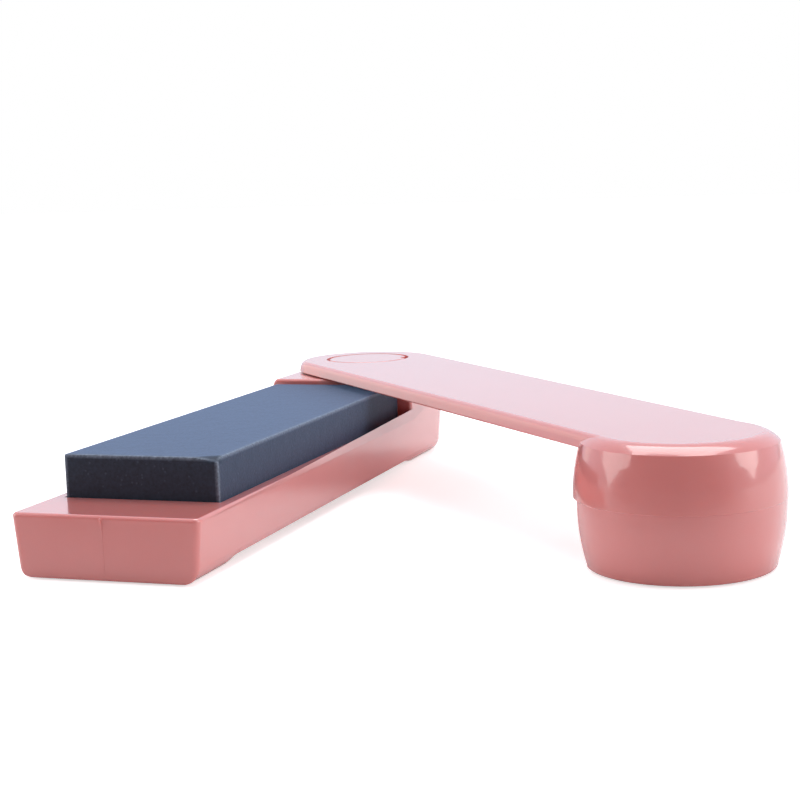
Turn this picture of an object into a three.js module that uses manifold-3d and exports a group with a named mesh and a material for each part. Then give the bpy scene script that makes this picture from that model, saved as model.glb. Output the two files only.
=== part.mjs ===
// Whetstone in a moulded tray, with a swivel arm that covers the stone and ends in a round knob.
// Millimetres, +Z up. The origin is on the table, under the pivot axis at the tray's rear end.
// The tray runs from the pivot towards -Y. The arm is drawn closed, over the stone, and then swung open.
import * as THREE from 'three';
import { mergeVertices } from 'three/addons/utils/BufferGeometryUtils.js';
import Module from 'manifold-3d';

const wasm = await Module();
wasm.setup();

// Stone
const STONE_WIDTH = 30;
const STONE_LENGTH = 95.8;
const STONE_THICKNESS = 10;
const STONE_EDGE = 0.4;
const STONE_REVEAL = 7.8; // how far the stone stands above the tray's rim
const STONE_END_GAP = 1.6; // between the stone and the rear block

// Foam tape under the stone
const TAPE_THICKNESS = 0.8;
const TAPE_LENGTH = 34;
const TAPE_MARGIN = 2; // from the stone's edges

// Tray
const TRAY_TOP = 11.6;
const SIDE_LEDGE = 2.7;
const FRONT_LEDGE = 14;
const FRONT_CORNER = 1.1;
const LEAST_CORNER = 0.6;
const FOOT_LIFT = 0.3; // plastic above the table, where the rubber feet carry it
const FOOT_INSET = 1; // draft of the tray's sides, from rim to foot
const FRONT_FOOT_INSET = 0.2; // and of its front
const RIM_RADIUS = 0.8;
const FOOT_EDGE = 1.3;
const BELLY_HEIGHT = 2; // arch between the front and the rear foot
const FRONT_FOOT_LENGTH = 12.6;
const REAR_FOOT_REACH = 13.5; // from the pivot axis forward
const FRONT_RAMP = 2.6; // length of the arch's slope behind the front foot
const REAR_RAMP = 9.5; // and of the longer one before the rear foot
const WALL = 2.2;
const RIB = 1.6;
const CELL_ROWS = 6;
const CELL_DRAFT = 0.25;

// Rear block that carries the pivot
const BLOCK_REACH = 20.4; // from the pivot axis forward to the block's face
const BLOCK_RISE = 0.9; // above the stone's top
const BLOCK_UPRIGHT = 2.4; // height over which the block's side is flush with the tray's
const BLOCK_SHOULDER = 1.7; // how far its sides draw in above that
const BLOCK_CORNER = 0.8;
const BLOCK_EDGE = 0.5;

// Swivel arm
const ARM_END_RADIUS = 16.7; // the round end over the pivot
const ARM_NECK_RADIUS = 15.3; // half the arm's width where it meets the knob
const ARM_THICKNESS = 2.5;
const ARM_EDGE = 0.6;
const ARM_GAP = 0.2; // between the arm and the block
const ARM_REST_ANGLE = THREE.MathUtils.degToRad(42.1);

// Round knob at the arm's end
const KNOB_RADIUS = 17.9;
const KNOB_FOOT_RADIUS = 16.2;
const KNOB_SHOULDER_RADIUS = 17.1;
const KNOB_WAIST = 11.6; // height where the knob is widest
const KNOB_CROWN = 3.4; // depth of the rounding at its top
const KNOB_FOOT_EDGE = 0.9;
const KNOB_WALL = 2.6;
const STONE_CLEARANCE = 0.5; // between the stone's corners and the knob as it swings past
const TRAY_CLEARANCE = 0.8; // between the tray's front and the knob's lower half
const LIP_GAP = 0.6; // between the tray's rim and the knob's lip above it

// Pivot
const HUB_RADIUS = 8;
const HUB_LENGTH = 6.8; // below the arm's underside
const HUB_CLEARANCE = 0.4;
const WEB = 2.6; // the hub's floor, which the washer keeps down
const BORE_RADIUS = 6;
const POST_RADIUS = 3.6;
const POST_CLEARANCE = 0.3;
const END_PLAY = 0.3; // axial play of the arm on its post
const THRUST_WASHER = 0.5;
const WASHER_RADIUS = 5.6;
const WASHER_THICKNESS = 0.8;
const CAP_RADIUS = 9.3;
const CAP_GROOVE = 0.7; // ring between the cap and its recess
const CAP_THICKNESS = 1.3;
const CAP_EDGE = 0.25;
const CAP_PLUG_DEPTH = 1.2;
const CAP_PLUG_WALL = 1;
const CAP_NOTCH = 1.2;
const CAP_NOTCH_DEPTH = 0.65;
const CAP_NOTCH_ANGLE = THREE.MathUtils.degToRad(-30);

// Screws: thread radius, length under the head, head radius, head height, thread pitch and reach of the cross
const PIVOT_SCREW = { thread: 1.45, length: 9.5, head: 3.1, rise: 2.1, pitch: 1.1, cross: 1.8 };
const PLATE_SCREW = { thread: 1.1, length: 7, head: 2.1, rise: 1.2, pitch: 0.9, cross: 1.2 };
const THREAD_DEPTH = 0.3;
const HEAD_ROUND = 0.7;
const CROSS_WIDTH = 0.6;
const CROSS_DEPTH = 0.8;
const HOLE_CLEARANCE = 0.2;
const HEAD_RECESS = 0.3; // how deep a plate screw's head is sunk

// Rubber feet and the knob's base plate
const FRONT_PAD_RADIUS = 3.6;
const FRONT_PAD_INSET = 8.2; // from the tray's side to the middle of a front pad
const REAR_PAD_RADIUS = 7;
const KNOB_PAD_RADIUS = 4.4;
const PAD_THICKNESS = 1.3;
const PAD_EDGE = 0.3;
const PLATE_THICKNESS = 2.6;
const PLATE_SCREW_SPREAD = 8.6;
const BOSS_RADIUS = 2.7;

// Fits
const SEAT_GAP = 0.1; // between flat faces that rest on each other
const FIT = 0.3; // round a piece in its recess

// Smoothness
const ROUND_STEPS = 40;
const SMALL_STEPS = 24;
const SWEEP_STEPS = 360;
const EDGE_STEPS = 3;
const OVERRUN = 1; // how far a cutting shape runs past the face that it opens
const MERGE_DISTANCE = 1e-4; // corners that are closer than this are one

// Places worked out from the sizes above
const STONE_TOP = TRAY_TOP + STONE_REVEAL;
const STONE_BOTTOM = STONE_TOP - STONE_THICKNESS;
const BED_FLOOR = STONE_BOTTOM - TAPE_THICKNESS - 2 * SEAT_GAP;
const STONE_REAR = -(BLOCK_REACH + STONE_END_GAP);
const STONE_FRONT = STONE_REAR - STONE_LENGTH;
const TRAY_HALF = STONE_WIDTH / 2 + SIDE_LEDGE;
const TRAY_FRONT = STONE_FRONT - FRONT_LEDGE;
const FRONT_FOOT_END = TRAY_FRONT + FRONT_FOOT_LENGTH;
const BLOCK_TOP = STONE_TOP + BLOCK_RISE;
const ARM_UNDERSIDE = BLOCK_TOP + ARM_GAP;
const ARM_TOP = ARM_UNDERSIDE + ARM_THICKNESS;
const KNOB_REACH = Math.hypot(STONE_WIDTH / 2, STONE_FRONT) + STONE_CLEARANCE + KNOB_RADIUS;
const ARM_TAPER = Math.asin((ARM_END_RADIUS - ARM_NECK_RADIUS) / KNOB_REACH);
const CORNER_REACH = Math.hypot(TRAY_HALF - FRONT_CORNER, TRAY_FRONT + FRONT_CORNER) + FRONT_CORNER;
const SWEEP_RADIUS = CORNER_REACH + TRAY_CLEARANCE; // where the knob's lower half begins, from the pivot
const LIP_BOTTOM = TRAY_TOP + LIP_GAP;
const KNOB_BORE = KNOB_FOOT_RADIUS - KNOB_WALL;
const HUB_BOTTOM = ARM_UNDERSIDE - HUB_LENGTH;
const SOCKET_FLOOR = HUB_BOTTOM - THRUST_WASHER - 2 * SEAT_GAP;
const SOCKET_RADIUS = HUB_RADIUS + HUB_CLEARANCE;
const WEB_TOP = HUB_BOTTOM + WEB;
const POST_TOP = WEB_TOP + END_PLAY;
const WASHER_BOTTOM = POST_TOP + SEAT_GAP;
const PIVOT_HEAD = WASHER_BOTTOM + WASHER_THICKNESS + SEAT_GAP;
const CAP_BOTTOM = ARM_TOP - CAP_THICKNESS;
const PAD_ROOF = PAD_THICKNESS + SEAT_GAP;
const FRONT_PAD_SPREAD = TRAY_HALF - FRONT_PAD_INSET;
const FRONT_PAD_Y = (TRAY_FRONT + FRONT_FOOT_INSET + FRONT_FOOT_END) / 2;
const CELL_ROOF = BED_FLOOR - WALL;
const PLATE_TOP = FOOT_LIFT + PLATE_THICKNESS;
const PLATE_EDGE = SWEEP_RADIUS + KNOB_WALL; // the base plate's straight side, from the pivot
const PLATE_MIDDLE = -(PLATE_EDGE + KNOB_REACH + KNOB_BORE) / 2;
const PLATE_SEAT = FOOT_LIFT + HEAD_RECESS + PLATE_SCREW.rise; // face under the plate screws' heads

const PINK = 0xe3a9a8;
const moulded = new THREE.MeshStandardMaterial({ color: PINK, roughness: 0.25, metalness: 0 });
const abrasive = new THREE.MeshStandardMaterial({ color: 0x4a5264, roughness: 0.9, metalness: 0 });
const foam = new THREE.MeshStandardMaterial({ color: 0xe8e4da, roughness: 0.9, metalness: 0 });
const nylon = new THREE.MeshStandardMaterial({ color: 0xf0ece2, roughness: 0.5, metalness: 0 });
const steel = new THREE.MeshStandardMaterial({ color: 0xb4b7bb, roughness: 0.35, metalness: 1 });
const rubber = new THREE.MeshStandardMaterial({ color: 0x3a3436, roughness: 0.85, metalness: 0 });

// Makes a solid of a closed geometry: merges shared corners, drops flat slivers and turns its faces out.
function solidOf(geometry) {
  geometry.deleteAttribute('normal');
  geometry.deleteAttribute('uv');
  const merged = mergeVertices(geometry, MERGE_DISTANCE);
  const corners = merged.attributes.position.array;
  const index = merged.index.array;
  const point = (i) => new THREE.Vector3().fromArray(corners, 3 * i);
  const triangles = [];
  let volume = 0;
  for (let i = 0; i < index.length; i += 3) {
    const [a, b, c] = index.slice(i, i + 3);
    if (a === b || b === c || c === a) continue;
    triangles.push([a, b, c]);
    volume += point(a).dot(point(b).cross(point(c)));
  }
  const outward = triangles.map(([a, b, c]) => (volume < 0 ? [a, c, b] : [a, b, c]));
  const mesh = new wasm.Mesh({
    numProp: 3,
    vertProperties: new Float32Array(corners),
    triVerts: new Uint32Array(outward.flat()),
  });
  return new wasm.Manifold(mesh);
}

function join(...solids) {
  return solids.reduce((whole, piece) => whole.add(piece));
}

function cut(solid, ...tools) {
  return tools.reduce((left, tool) => left.subtract(tool), solid);
}

function node(name, solid, material) {
  const { vertProperties, triVerts } = solid.getMesh();
  const geometry = new THREE.BufferGeometry();
  geometry.setAttribute('position', new THREE.BufferAttribute(new Float32Array(vertProperties), 3));
  geometry.setIndex(new THREE.BufferAttribute(new Uint32Array(triVerts), 1));
  geometry.computeVertexNormals();
  const mesh = new THREE.Mesh(geometry, material);
  mesh.name = name;
  return mesh;
}

// Joins level outlines with the same number of points into one solid, from the lowest to the highest.
function loft(sections) {
  const count = sections[0].outline.length;
  const positions = sections.flatMap(({ outline, z }) => outline.flatMap((p) => [p.x, p.y, z]));
  const index = [];
  for (let level = 0; level + 1 < sections.length; level += 1) {
    for (let i = 0; i < count; i += 1) {
      const a = level * count + i;
      const b = level * count + ((i + 1) % count);
      index.push(a, b, b + count, a, b + count, a + count);
    }
  }
  const last = (sections.length - 1) * count;
  for (const [a, b, c] of THREE.ShapeUtils.triangulateShape(sections[0].outline, [])) index.push(a, c, b);
  for (const [a, b, c] of THREE.ShapeUtils.triangulateShape(sections.at(-1).outline, [])) {
    index.push(last + a, last + b, last + c);
  }
  const geometry = new THREE.BufferGeometry();
  geometry.setAttribute('position', new THREE.BufferAttribute(new Float32Array(positions), 3));
  geometry.setIndex(index);
  return solidOf(geometry);
}

// A solid of revolution about an upright axis, from a closed profile of [radius, height] points.
function turned(profile, steps = SMALL_STEPS, x = 0, y = 0) {
  const points = profile.map(([radius, height]) => new THREE.Vector2(radius, height));
  const closed = [...points, points[0].clone()];
  const geometry = new THREE.LatheGeometry(closed, steps);
  geometry.rotateX(Math.PI / 2);
  geometry.translate(x, y, 0);
  return solidOf(geometry);
}

function rod(radius, low, high, steps = SMALL_STEPS, x = 0, y = 0) {
  return turned([[0, low], [radius, low], [radius, high], [0, high]], steps, x, y);
}

function ring(inner, outer, low, high, steps = SMALL_STEPS) {
  return turned([[inner, low], [outer, low], [outer, high], [inner, high]], steps);
}

function box(x0, x1, y0, y1, z0, z1) {
  const geometry = new THREE.BoxGeometry(x1 - x0, y1 - y0, z1 - z0);
  geometry.translate((x0 + x1) / 2, (y0 + y1) / 2, (z0 + z1) / 2);
  return solidOf(geometry);
}

// A rectangle with its corners cut off.
function clippedRectangle(x0, x1, y0, y1, clip) {
  const corners = [[x0 + clip, y0], [x1 - clip, y0], [x1, y0 + clip], [x1, y1 - clip],
    [x1 - clip, y1], [x0 + clip, y1], [x0, y1 - clip], [x0, y0 + clip]];
  return corners.map(([x, y]) => new THREE.Vector2(x, y));
}

function arc(x, y, radius, from, to, steps) {
  return new THREE.EllipseCurve(x, y, radius, radius, from, to).getPoints(steps);
}

// Plan of the tray and its block: half round about the pivot axis, with straight sides and round front corners.
function roundEndedPlan(half, front, corner) {
  return [
    ...arc(0, 0, half, 0, Math.PI, ROUND_STEPS / 2),
    ...arc(corner - half, front + corner, corner, Math.PI, 1.5 * Math.PI, EDGE_STEPS),
    ...arc(half - corner, front + corner, corner, 1.5 * Math.PI, 2 * Math.PI, EDGE_STEPS),
  ];
}

// Inset of a rounded edge at each step, as [inset, depth below the edge's outer end].
function roundedEdge(radius) {
  const angles = Array.from({ length: EDGE_STEPS + 1 }, (_, i) => (Math.PI / 2) * (i / EDGE_STEPS));
  return angles.map((angle) => [radius * (1 - Math.sin(angle)), radius * (1 - Math.cos(angle))]);
}

// How far a side of the tray lies inside the rim at a height, from what it does at the foot.
function draftInset(z, atFoot) {
  return atFoot * (TRAY_TOP - z) / (TRAY_TOP - FOOT_LIFT);
}

function trayShell() {
  const section = (inset, z) => {
    const side = inset + draftInset(z, FOOT_INSET);
    const front = inset + draftInset(z, FRONT_FOOT_INSET);
    const corner = Math.max(FRONT_CORNER - side, LEAST_CORNER);
    return { outline: roundEndedPlan(TRAY_HALF - side, TRAY_FRONT + front, corner), z };
  };
  const foot = roundedEdge(FOOT_EDGE).map(([inset, depth]) => section(inset, FOOT_LIFT + depth));
  const rim = roundedEdge(RIM_RADIUS).map(([inset, depth]) => section(inset, TRAY_TOP - depth)).reverse();
  return loft([...foot, ...rim]);
}

function rearBlock() {
  const section = (inset, z) => (
    { outline: roundEndedPlan(TRAY_HALF - inset, -BLOCK_REACH, BLOCK_CORNER), z }
  );
  const root = TRAY_TOP - 2 * RIM_RADIUS;
  const upright = TRAY_TOP + BLOCK_UPRIGHT;
  const shoulderTop = BLOCK_TOP - BLOCK_EDGE;
  const shoulder = Array.from({ length: EDGE_STEPS + 1 }, (_, i) => i / EDGE_STEPS).map((t) => (
    section(BLOCK_SHOULDER * t * t, upright + (shoulderTop - upright) * t)
  ));
  const crown = roundedEdge(BLOCK_EDGE).slice(0, -1).reverse().map(([inset, depth]) => (
    section(BLOCK_SHOULDER + inset, BLOCK_TOP - depth)
  ));
  return loft([section(draftInset(root, FOOT_INSET), root), section(0, TRAY_TOP), ...shoulder, ...crown]);
}

// The arch between the feet, open to both sides.
function underArch() {
  const front = FRONT_FOOT_END;
  const rear = -REAR_FOOT_REACH;
  const drop = (FOOT_LIFT + OVERRUN) / (BELLY_HEIGHT - FOOT_LIFT);
  const profile = new THREE.Shape([
    new THREE.Vector2(front - drop * FRONT_RAMP, -OVERRUN),
    new THREE.Vector2(rear + drop * REAR_RAMP, -OVERRUN),
    new THREE.Vector2(rear - REAR_RAMP, BELLY_HEIGHT),
    new THREE.Vector2(front + FRONT_RAMP, BELLY_HEIGHT),
  ]);
  const span = 2 * (TRAY_HALF + OVERRUN);
  const geometry = new THREE.ExtrudeGeometry(profile, { depth: span, bevelEnabled: false });
  const sideways = new THREE.Matrix4().makeBasis(
    new THREE.Vector3(0, 1, 0),
    new THREE.Vector3(0, 0, 1),
    new THREE.Vector3(1, 0, 0),
  );
  geometry.applyMatrix4(sideways);
  geometry.translate(-span / 2, 0, 0);
  return solidOf(geometry);
}

// Cells of the ribbed underside, in two columns beside the middle rib.
function undersideCells() {
  const front = FRONT_FOOT_END + FRONT_RAMP + WALL;
  const rear = -REAR_FOOT_REACH - REAR_RAMP - WALL;
  const pitch = (rear - front + RIB) / CELL_ROWS;
  const outer = TRAY_HALF - FOOT_INSET - WALL;
  const cells = [];
  for (const side of [-1, 1]) {
    for (let row = 0; row < CELL_ROWS; row += 1) {
      const y0 = front + row * pitch;
      const y1 = y0 + pitch - RIB;
      const [x0, x1] = [side * RIB / 2, side * outer].sort((a, b) => a - b);
      const mouth = clippedRectangle(x0, x1, y0, y1, RIB / 2);
      const roof = clippedRectangle(
        x0 + CELL_DRAFT, x1 - CELL_DRAFT, y0 + CELL_DRAFT, y1 - CELL_DRAFT, RIB / 2,
      );
      cells.push(loft([{ outline: mouth, z: 0 }, { outline: roof, z: CELL_ROOF }]));
    }
  }
  return cells;
}

// The round core-out under the block, between the rear pad's seat and the outer wall.
function rearCore() {
  const inner = Math.max(REAR_PAD_RADIUS + FIT, SOCKET_RADIUS) + RIB;
  const outer = TRAY_HALF - FOOT_INSET - WALL;
  return ring(inner, outer, 0, SOCKET_FLOOR - WALL, ROUND_STEPS);
}

// The space that the hub turns in, round the post that the screw goes into.
function hubSocket() {
  const open = BLOCK_TOP + OVERRUN;
  return turned([
    [0, POST_TOP], [POST_RADIUS, POST_TOP], [POST_RADIUS, SOCKET_FLOOR],
    [SOCKET_RADIUS, SOCKET_FLOOR], [SOCKET_RADIUS, open], [0, open],
  ], ROUND_STEPS);
}

const FRONT_PADS = [['front_left_foot', -FRONT_PAD_SPREAD], ['front_right_foot', FRONT_PAD_SPREAD]];

function baseTray() {
  const bed = box(
    -STONE_WIDTH / 2 - FIT, STONE_WIDTH / 2 + FIT,
    STONE_FRONT - FIT, -BLOCK_REACH,
    BED_FLOOR, TRAY_TOP + OVERRUN,
  );
  const tray = join(cut(trayShell(), bed), rearBlock());
  const pilot = rod(
    PIVOT_SCREW.thread + HOLE_CLEARANCE, PIVOT_HEAD - PIVOT_SCREW.length - HOLE_CLEARANCE, POST_TOP + OVERRUN,
  );
  const frontRecesses = FRONT_PADS.map(([, x]) => (
    rod(FRONT_PAD_RADIUS + FIT, -OVERRUN, PAD_ROOF, SMALL_STEPS, x, FRONT_PAD_Y)
  ));
  const rearRecess = rod(REAR_PAD_RADIUS + FIT, -OVERRUN, PAD_ROOF);
  return cut(
    tray, hubSocket(), pilot, underArch(), ...undersideCells(), rearCore(), ...frontRecesses, rearRecess,
  );
}

function whetstone() {
  const section = (inset, z) => ({
    outline: clippedRectangle(
      inset - STONE_WIDTH / 2, STONE_WIDTH / 2 - inset, STONE_FRONT + inset, STONE_REAR - inset, STONE_EDGE,
    ),
    z,
  });
  return loft([
    section(STONE_EDGE, STONE_BOTTOM), section(0, STONE_BOTTOM + STONE_EDGE),
    section(0, STONE_TOP - STONE_EDGE), section(STONE_EDGE, STONE_TOP),
  ]);
}

function bedTape(y0, y1) {
  const half = STONE_WIDTH / 2 - TAPE_MARGIN;
  const low = BED_FLOOR + SEAT_GAP;
  return box(-half, half, y0, y1, low, low + TAPE_THICKNESS);
}

function pad(radius, x, y) {
  const profile = [
    [0, 0], [radius - PAD_EDGE, 0], [radius, PAD_EDGE], [radius, PAD_THICKNESS], [0, PAD_THICKNESS],
  ];
  return turned(profile, SMALL_STEPS, x, y);
}

// A self-tapping screw: rounded head with a cross recess, thread ridges and a pointed tip.
// headSide is 1 where the head is up and -1 where it is down; seat is the height of the face under the head.
function screw({ thread, length, head, rise, pitch, cross }, seat, headSide, x = 0, y = 0) {
  const core = thread - THREAD_DEPTH;
  const at = (height) => seat + headSide * height;
  const ridges = Math.floor((length - 2 * thread) / pitch);
  const profile = [[0, rise], [head - HEAD_ROUND, rise], [head, rise - HEAD_ROUND], [head, 0], [core, 0]];
  for (let i = 1; i <= ridges; i += 1) {
    const crest = -i * pitch;
    profile.push([core, crest + THREAD_DEPTH], [thread, crest], [core, crest - THREAD_DEPTH]);
  }
  profile.push([core, thread - length], [0, -length]);
  const body = turned(profile.map(([radius, height]) => [radius, at(height)]), SMALL_STEPS / 2, x, y);
  const half = CROSS_WIDTH / 2;
  const [low, high] = [at(rise - CROSS_DEPTH), at(rise + OVERRUN)].sort((a, b) => a - b);
  const along = box(x - cross, x + cross, y - half, y + half, low, high);
  const across = box(x - half, x + half, y - cross, y + cross, low, high);
  return cut(body, along, across);
}

// The arm's plate: round ends about the pivot and about the knob, straight sides that taper, soft edges.
function armPlate() {
  const shape = new THREE.Shape();
  shape.absarc(0, 0, ARM_END_RADIUS, -ARM_TAPER, Math.PI + ARM_TAPER);
  shape.absarc(0, -KNOB_REACH, ARM_NECK_RADIUS, Math.PI + ARM_TAPER, 2 * Math.PI - ARM_TAPER);
  const geometry = new THREE.ExtrudeGeometry(shape, {
    depth: ARM_THICKNESS - 2 * ARM_EDGE,
    curveSegments: ROUND_STEPS / 4,
    bevelSize: ARM_EDGE,
    bevelThickness: ARM_EDGE,
    bevelOffset: -ARM_EDGE,
    bevelSegments: EDGE_STEPS,
  });
  geometry.translate(0, 0, ARM_UNDERSIDE + ARM_EDGE);
  return solidOf(geometry);
}

// The knob's barrel, widest at its waist, with a soft crown that runs into the arm's top.
function knobBarrel() {
  const footTop = FOOT_LIFT + KNOB_FOOT_EDGE;
  const shoulder = ARM_TOP - KNOB_CROWN;
  const top = ARM_NECK_RADIUS - ARM_EDGE;
  const path = new THREE.Path();
  path.moveTo(0, FOOT_LIFT);
  path.lineTo(KNOB_FOOT_RADIUS - KNOB_FOOT_EDGE, FOOT_LIFT);
  path.quadraticCurveTo(KNOB_FOOT_RADIUS, FOOT_LIFT, KNOB_FOOT_RADIUS, footTop);
  path.quadraticCurveTo(KNOB_RADIUS, (footTop + KNOB_WAIST) / 2, KNOB_RADIUS, KNOB_WAIST);
  path.quadraticCurveTo(KNOB_RADIUS, (KNOB_WAIST + shoulder) / 2, KNOB_SHOULDER_RADIUS, shoulder);
  path.quadraticCurveTo((KNOB_SHOULDER_RADIUS + top) / 2, ARM_TOP, top, ARM_TOP);
  path.lineTo(0, ARM_TOP);
  const profile = path.getPoints(EDGE_STEPS + 1).map((p) => [p.x, p.y]);
  return turned(profile, ROUND_STEPS, 0, -KNOB_REACH);
}

const PLATE_SCREWS = [['knob_screw_left', -PLATE_SCREW_SPREAD], ['knob_screw_right', PLATE_SCREW_SPREAD]];

// The part of a round bore in the knob that lies outside a circle about the pivot.
function knobHollow(radius, fromPivot, low, high) {
  const bore = rod(radius, low, high, ROUND_STEPS, 0, -KNOB_REACH);
  return cut(bore, rod(fromPivot, low - OVERRUN, high + OVERRUN, SWEEP_STEPS));
}

function swivelArm() {
  const hub = rod(HUB_RADIUS, HUB_BOTTOM, ARM_UNDERSIDE + ARM_EDGE, ROUND_STEPS);
  const traySweep = rod(SWEEP_RADIUS, -OVERRUN, LIP_BOTTOM, SWEEP_STEPS);
  const knob = cut(
    knobBarrel(), traySweep, knobHollow(KNOB_BORE, PLATE_EDGE, -OVERRUN, ARM_UNDERSIDE),
  );
  const bosses = PLATE_SCREWS.map(([, x]) => (
    rod(BOSS_RADIUS, PLATE_TOP + SEAT_GAP, ARM_UNDERSIDE + ARM_EDGE, SMALL_STEPS, x, PLATE_MIDDLE)
  ));
  const pilots = PLATE_SCREWS.map(([, x]) => rod(
    PLATE_SCREW.thread + HOLE_CLEARANCE, PLATE_TOP - OVERRUN,
    PLATE_SEAT + PLATE_SCREW.length + HOLE_CLEARANCE, SMALL_STEPS, x, PLATE_MIDDLE,
  ));
  const recess = rod(CAP_RADIUS + CAP_GROOVE, CAP_BOTTOM - SEAT_GAP, ARM_TOP + OVERRUN, ROUND_STEPS);
  const counterbore = rod(BORE_RADIUS, WEB_TOP, ARM_TOP + OVERRUN, ROUND_STEPS);
  const postHole = rod(POST_RADIUS + POST_CLEARANCE, HUB_BOTTOM - OVERRUN, ARM_TOP + OVERRUN, ROUND_STEPS);
  return cut(join(armPlate(), hub, knob, ...bosses), ...pilots, recess, counterbore, postHole);
}

function pivotCap() {
  const plug = BORE_RADIUS - FIT;
  const plugBottom = CAP_BOTTOM - CAP_PLUG_DEPTH;
  const disc = turned([
    [0, CAP_BOTTOM], [plug - CAP_PLUG_WALL, CAP_BOTTOM], [plug - CAP_PLUG_WALL, plugBottom],
    [plug, plugBottom], [plug, CAP_BOTTOM], [CAP_RADIUS, CAP_BOTTOM],
    [CAP_RADIUS, ARM_TOP - CAP_EDGE], [CAP_RADIUS - CAP_EDGE, ARM_TOP], [0, ARM_TOP],
  ], ROUND_STEPS);
  const x = CAP_RADIUS * Math.cos(CAP_NOTCH_ANGLE);
  const y = CAP_RADIUS * Math.sin(CAP_NOTCH_ANGLE);
  return cut(disc, rod(CAP_NOTCH, ARM_TOP - CAP_NOTCH_DEPTH, ARM_TOP + OVERRUN, SMALL_STEPS, x, y));
}

function knobBase() {
  const plate = knobHollow(KNOB_BORE - FIT, PLATE_EDGE + FIT, FOOT_LIFT, PLATE_TOP);
  const holeRadius = PLATE_SCREW.thread + HOLE_CLEARANCE;
  const holes = PLATE_SCREWS.map(([, x]) => (
    rod(holeRadius, FOOT_LIFT - OVERRUN, PLATE_TOP + OVERRUN, SMALL_STEPS, x, PLATE_MIDDLE)
  ));
  const seats = PLATE_SCREWS.map(([, x]) => rod(
    PLATE_SCREW.head + FIT, FOOT_LIFT - OVERRUN, PLATE_SEAT, SMALL_STEPS, x, PLATE_MIDDLE,
  ));
  const recess = rod(KNOB_PAD_RADIUS + FIT, FOOT_LIFT - OVERRUN, PAD_ROOF, SMALL_STEPS, 0, PLATE_MIDDLE);
  return cut(plate, ...holes, ...seats, recess);
}

const whole = new THREE.Group();
whole.add(node('base_tray', baseTray(), moulded));
whole.add(node('whetstone', whetstone(), abrasive));
const frontTape = STONE_FRONT + TAPE_MARGIN;
const rearTape = STONE_REAR - TAPE_MARGIN;
whole.add(node('bed_tape_front', bedTape(frontTape, frontTape + TAPE_LENGTH), foam));
whole.add(node('bed_tape_rear', bedTape(rearTape - TAPE_LENGTH, rearTape), foam));
const washerLow = SOCKET_FLOOR + SEAT_GAP;
const thrustWasher = ring(
  POST_RADIUS + POST_CLEARANCE, HUB_RADIUS - FIT, washerLow, washerLow + THRUST_WASHER, ROUND_STEPS,
);
whole.add(node('thrust_washer', thrustWasher, nylon));
const pivotWasher = ring(
  PIVOT_SCREW.thread + HOLE_CLEARANCE, WASHER_RADIUS, WASHER_BOTTOM, WASHER_BOTTOM + WASHER_THICKNESS,
);
whole.add(node('pivot_washer', pivotWasher, steel));
whole.add(node('pivot_screw', screw(PIVOT_SCREW, PIVOT_HEAD, 1), steel));
for (const [name, x] of FRONT_PADS) whole.add(node(name, pad(FRONT_PAD_RADIUS, x, FRONT_PAD_Y), rubber));
whole.add(node('rear_foot', pad(REAR_PAD_RADIUS, 0, 0), rubber));

const arm = new THREE.Group();
arm.rotation.z = ARM_REST_ANGLE;
arm.add(node('swivel_arm', swivelArm(), moulded));
arm.add(node('pivot_cap', pivotCap(), moulded));
arm.add(node('knob_base', knobBase(), moulded));
for (const [name, x] of PLATE_SCREWS) {
  arm.add(node(name, screw(PLATE_SCREW, PLATE_SEAT - SEAT_GAP, -1, x, PLATE_MIDDLE), steel));
}
arm.add(node('knob_foot', pad(KNOB_PAD_RADIUS, 0, PLATE_MIDDLE), rubber));
whole.add(arm);

export default whole;
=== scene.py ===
"""Looks and studio for a whetstone in a pink moulded tray, under a swivel arm with a round knob.

Metres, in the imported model's frame. The origin is on the table under the pivot axis, and the tray runs
to -Y. The arm's pieces are modelled closed, along -Y, and then turned to where the frame has the arm.
"""
import math

import bmesh
import bpy
from mathutils import Matrix, Vector


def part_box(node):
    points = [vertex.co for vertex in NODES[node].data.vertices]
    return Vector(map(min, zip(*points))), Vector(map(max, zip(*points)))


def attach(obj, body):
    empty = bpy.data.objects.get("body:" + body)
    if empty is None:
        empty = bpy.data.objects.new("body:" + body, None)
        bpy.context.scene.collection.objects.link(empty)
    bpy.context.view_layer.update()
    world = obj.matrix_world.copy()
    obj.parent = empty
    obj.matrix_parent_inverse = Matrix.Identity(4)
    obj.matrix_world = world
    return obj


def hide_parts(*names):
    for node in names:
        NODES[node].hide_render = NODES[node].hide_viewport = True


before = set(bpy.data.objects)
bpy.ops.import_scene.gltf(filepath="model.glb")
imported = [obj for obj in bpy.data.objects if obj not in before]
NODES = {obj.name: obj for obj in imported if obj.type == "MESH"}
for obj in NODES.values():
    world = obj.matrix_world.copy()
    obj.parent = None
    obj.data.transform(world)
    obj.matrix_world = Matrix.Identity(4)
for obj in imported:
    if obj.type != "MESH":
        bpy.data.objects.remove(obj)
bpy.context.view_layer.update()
MM = 0.001

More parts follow.
